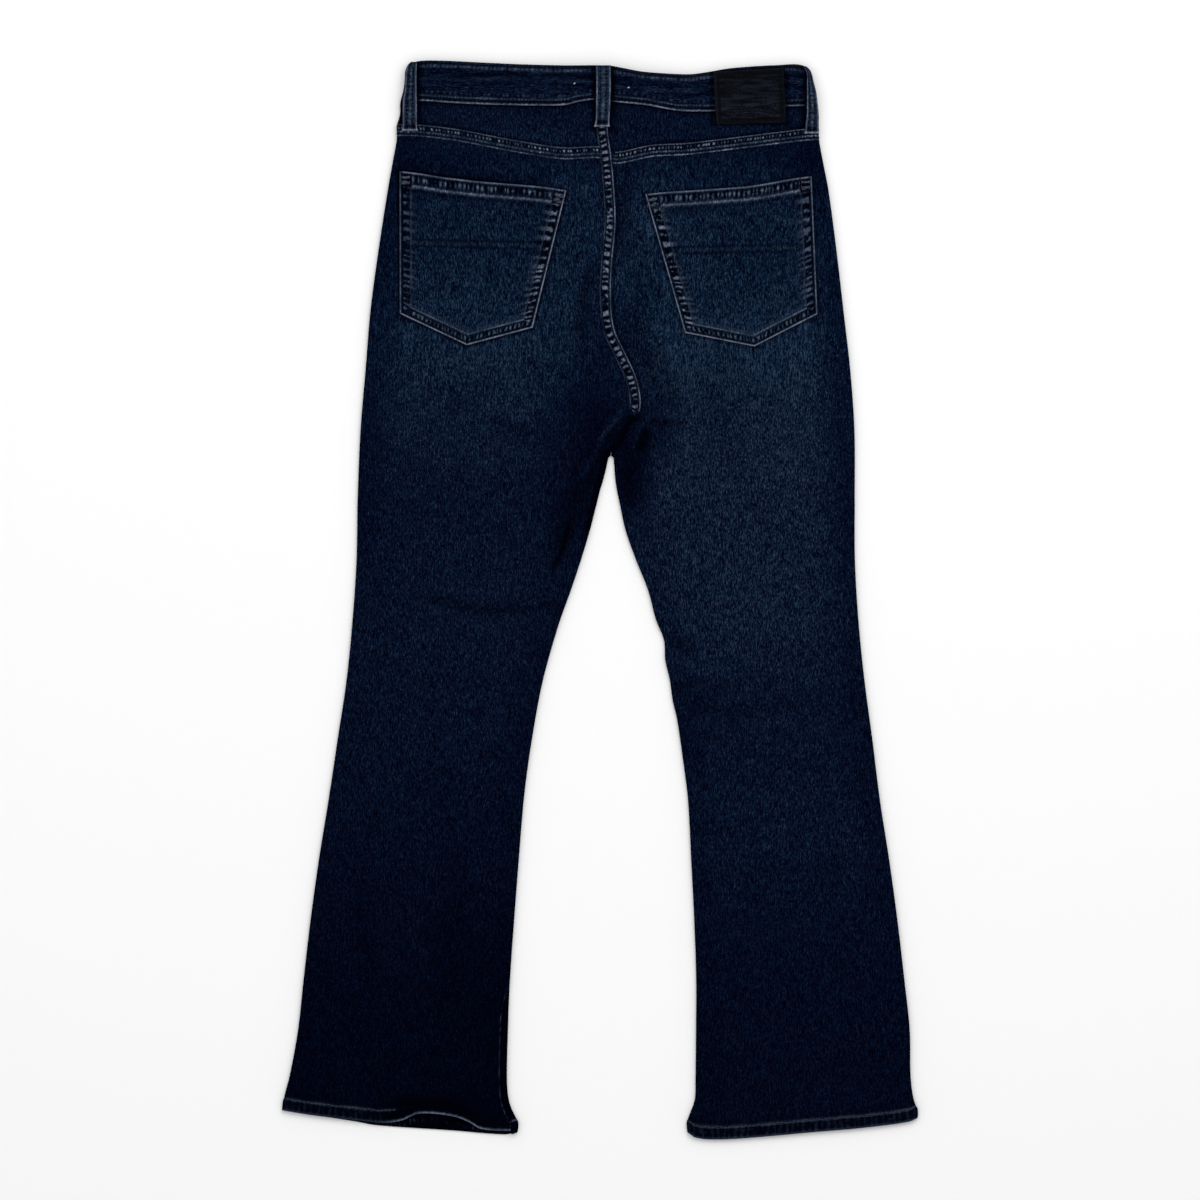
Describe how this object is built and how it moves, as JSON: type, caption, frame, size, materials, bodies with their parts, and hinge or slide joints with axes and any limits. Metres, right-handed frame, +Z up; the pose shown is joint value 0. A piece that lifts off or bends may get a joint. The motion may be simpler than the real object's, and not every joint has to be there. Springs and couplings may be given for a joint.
{
  "type": "bootcut jeans laid flat",
  "caption": "Dark indigo bootcut denim jeans lying flat with the back up: waistband with belt loops and a plain patch, yoke, back pockets and flared hems.",
  "frame": {"origin": "middle of the footprint, on the surface that the jeans lie on", "axes": "+Z up out of the back of the jeans, +Y from the hems to the waist, +X to the wearer's right"},
  "size_m": [0.6366, 1.0789, 0.0157],
  "materials": {
    "indigo_denim": "very dark indigo stretch denim twill, lightly faded over the seat and thighs",
    "worn_denim": "the same denim with worn, paler folds",
    "black_patch": "matt near-black grained patch",
    "dark_metal": "dark aged metal, hidden on the underside"
  },
  "bodies": {
    "root": {"back_leg_left": "indigo_denim", "back_leg_right": "indigo_denim", "yoke_left": "indigo_denim", "yoke_right": "indigo_denim", "back_pocket_left": "indigo_denim", "back_pocket_right": "indigo_denim", "front_leg_left": "indigo_denim", "front_leg_right": "indigo_denim", "front_pocket_left": "indigo_denim", "front_pocket_right": "indigo_denim", "waistband_back": "indigo_denim", "waistband_front_left": "indigo_denim", "waistband_front_right": "indigo_denim", "belt_loop_back": "worn_denim", "belt_loop_left": "worn_denim", "belt_loop_right": "worn_denim", "belt_loop_front_left": "worn_denim", "belt_loop_front_right": "worn_denim", "waist_patch": "black_patch", "button": "dark_metal"}
  },
  "joints": []
}
